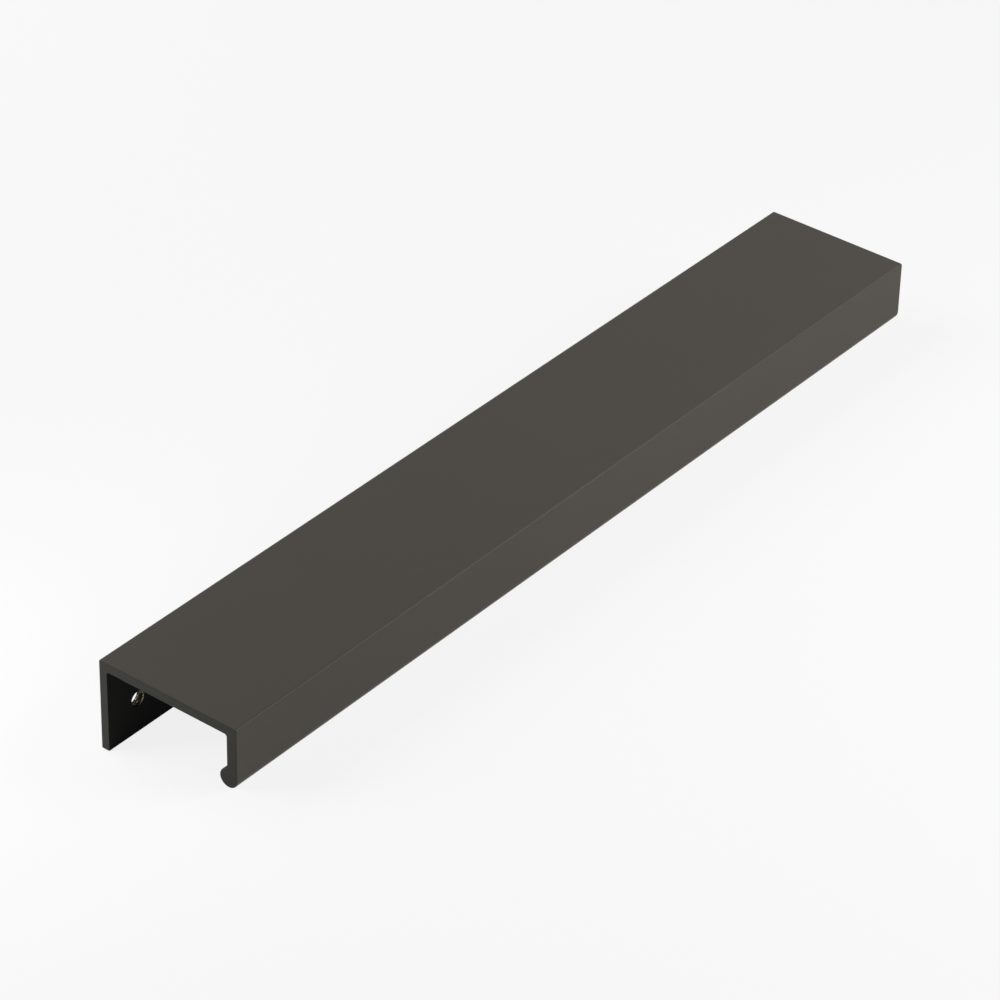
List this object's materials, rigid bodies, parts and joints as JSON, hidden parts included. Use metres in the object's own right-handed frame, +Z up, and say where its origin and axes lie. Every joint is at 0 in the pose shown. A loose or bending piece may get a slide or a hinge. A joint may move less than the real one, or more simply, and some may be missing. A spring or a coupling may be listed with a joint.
{
  "type": "finger pull profile",
  "caption": "Handleless finger pull: dark coated aluminium channel that hooks over a door's edge, with a tall drilled leg behind and a shorter, bead-edged lip in front.",
  "frame": {"origin": "on the floor, under the middle of the piece as it comes to rest", "axes": "+X along the profile, -Y towards the lip that faces the room, +Z up"},
  "size_m": [0.2, 0.0348, 0.019],
  "materials": {
    "graphite_coated_aluminium": "matte graphite coat"
  },
  "bodies": {
    "root": {"pull_profile": "graphite_coated_aluminium"}
  },
  "joints": []
}
